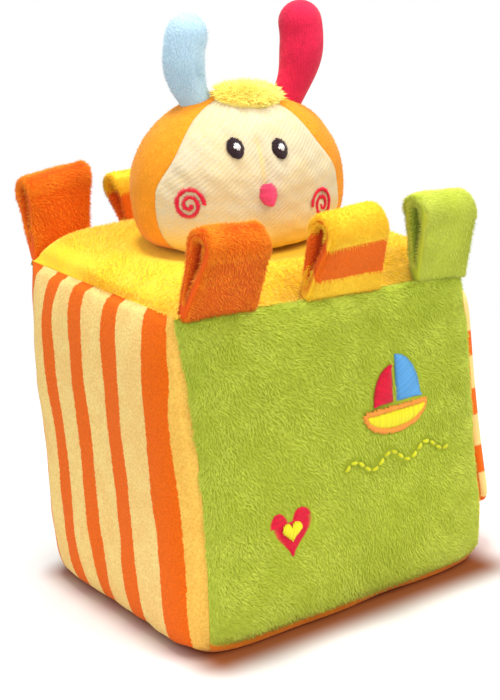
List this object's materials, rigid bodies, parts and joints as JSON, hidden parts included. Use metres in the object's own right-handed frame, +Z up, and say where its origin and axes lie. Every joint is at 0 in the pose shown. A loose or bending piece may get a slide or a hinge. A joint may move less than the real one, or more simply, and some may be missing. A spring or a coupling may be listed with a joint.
{
  "type": "stuffed play block",
  "caption": "Stuffed cloth activity block with a soft bug's head on top, antennae, ribbon loops in its top seams, a lift-up side flap and a rattle inside.",
  "frame": {"origin": "centre of the block's flat resting face", "axes": "+Z up through the head, -Y the embroidered front that the face looks over, -X the striped side, +X the side with the flap"},
  "size_m": [0.1247, 0.1182, 0.1846],
  "materials": {
    "bead_plastic": "polished",
    "blue_plush": "long plush pile",
    "blue_thread": "embroidered",
    "capsule_plastic": "satin",
    "cream_velour": "fine ribbed velour",
    "crimson_thread": "embroidered",
    "dark_thread": "embroidered",
    "filling": "polyester fibre",
    "green_plush": "short plush pile",
    "orange_plush": "short plush pile",
    "orange_thread": "embroidered",
    "orange_velour": "smooth velour",
    "pink_knit": "knitted velour",
    "pink_thread": "embroidered",
    "striped_ribbon": "plush pile with printed bands",
    "striped_velour": "smooth velour with printed stripes",
    "white_thread": "embroidered",
    "yellow_plush": "plush pile",
    "yellow_thread": "embroidered"
  },
  "bodies": {
    "block": {"boat_hull": "orange_thread", "boat_hull_middle": "yellow_thread", "boat_sail_blue": "blue_thread", "boat_sail_crimson": "crimson_thread", "filling_lower": "filling", "filling_upper": "filling", "heart": "crimson_thread", "heart_middle": "yellow_thread", "panel_back": "green_plush", "panel_bottom": "orange_velour", "panel_front": "green_plush", "panel_left": "striped_velour", "panel_right": "orange_velour", "panel_top": "yellow_plush", "rattle_shell_lower": "capsule_plastic", "rattle_shell_upper": "capsule_plastic", "wave_stitching": "yellow_thread"},
    "neck": {"neck": "orange_velour"},
    "head": {"cheek_spiral_left": "crimson_thread", "cheek_spiral_right": "crimson_thread", "eye_glint_left": "white_thread", "eye_glint_right": "white_thread", "eye_left": "dark_thread", "eye_right": "dark_thread", "hair_tuft": "yellow_plush", "head_face": "cream_velour", "head_filling": "filling", "head_side_left": "orange_velour", "head_side_right": "orange_velour", "nose": "pink_thread"},
    "antenna_left": {"antenna_left_cover": "blue_plush", "antenna_left_filling": "filling"},
    "antenna_right": {"antenna_right_cover": "pink_knit", "antenna_right_filling": "filling"},
    "loop_front_left": {"loop_front_left": "orange_plush"},
    "loop_front_middle": {"loop_front_middle": "striped_ribbon"},
    "loop_front_right": {"loop_front_right": "green_plush"},
    "loop_back_left": {"loop_back_left": "orange_plush"},
    "loop_back_middle": {"loop_back_middle": "striped_ribbon"},
    "loop_back_right": {"loop_back_right": "green_plush"},
    "flap": {"flap_back_cloth": "orange_velour", "flap_front_cloth": "striped_velour", "flap_wadding": "filling"},
    "bead_1": {"rattle_bead_1": "bead_plastic"},
    "bead_2": {"rattle_bead_2": "bead_plastic"},
    "bead_3": {"rattle_bead_3": "bead_plastic"}
  },
  "joints": [
    {"name": "head_turn", "type": "hinge", "parent": "block", "child": "neck", "pos_m": [0, 0, 0.12105], "axis": [-0.0084, -0.137, 0.9905], "range_deg": [-20, 20], "stiffness_Nm_per_rad": 0.02},
    {"name": "head_nod", "type": "hinge", "parent": "neck", "child": "head", "pos_m": [0, 0, 0.12105], "axis": [0.9767, -0.2147, 0], "range_deg": [-3, 3], "stiffness_Nm_per_rad": 0.05},
    {"name": "antenna_left_bend", "type": "hinge", "parent": "head", "child": "antenna_left", "pos_m": [-0.01068, 0.00181, 0.15752], "axis": [-0.2147, -0.9767, 0], "range_deg": [-12, 25], "stiffness_Nm_per_rad": 0.004},
    {"name": "antenna_right_bend", "type": "hinge", "parent": "head", "child": "antenna_right", "pos_m": [0.01862, -0.00463, 0.15477], "axis": [0.2147, 0.9767, 0], "range_deg": [-12, 25], "stiffness_Nm_per_rad": 0.004},
    {"name": "loop_front_left_bend", "type": "hinge", "parent": "block", "child": "loop_front_left", "pos_m": [-0.0385, -0.04637, 0.10455], "axis": [0.9985, 0, -0.0556], "range_deg": [-20, 35], "stiffness_Nm_per_rad": 0.003},
    {"name": "loop_front_middle_bend", "type": "hinge", "parent": "block", "child": "loop_front_middle", "pos_m": [0.00475, -0.04632, 0.10182], "axis": [0.9985, 0, -0.0556], "range_deg": [-20, 35], "stiffness_Nm_per_rad": 0.003},
    {"name": "loop_front_right_bend", "type": "hinge", "parent": "block", "child": "loop_front_right", "pos_m": [0.04273, -0.04642, 0.09959], "axis": [0.9985, 0, -0.0556], "range_deg": [-20, 35], "stiffness_Nm_per_rad": 0.003},
    {"name": "loop_back_left_bend", "type": "hinge", "parent": "block", "child": "loop_back_left", "pos_m": [-0.04116, 0.0464, 0.10915], "axis": [-0.9985, 0, 0.0556], "range_deg": [-8, 35], "stiffness_Nm_per_rad": 0.003},
    {"name": "loop_back_middle_bend", "type": "hinge", "parent": "block", "child": "loop_back_middle", "pos_m": [-0.00155, 0.04632, 0.10661], "axis": [-0.9985, 0, 0.0556], "range_deg": [-8, 35], "stiffness_Nm_per_rad": 0.003},
    {"name": "loop_back_right_bend", "type": "hinge", "parent": "block", "child": "loop_back_right", "pos_m": [0.03621, 0.04636, 0.10431], "axis": [-0.9985, 0, 0.0556], "range_deg": [-8, 35], "stiffness_Nm_per_rad": 0.003},
    {"name": "flap_lift", "type": "hinge", "parent": "block", "child": "flap", "pos_m": [0.05853, 0, 0.0908], "axis": [0, -1, 0], "range_deg": [0, 100]},
    {"name": "bead_1_slide", "type": "slide", "parent": "block", "child": "bead_1", "axis": [0, 0, 1], "range_m": [0, 0.009]},
    {"name": "bead_2_slide", "type": "slide", "parent": "block", "child": "bead_2", "axis": [0, 0, 1], "range_m": [0, 0.009]},
    {"name": "bead_3_slide", "type": "slide", "parent": "block", "child": "bead_3", "axis": [0, 0, 1], "range_m": [0, 0.009]}
  ]
}
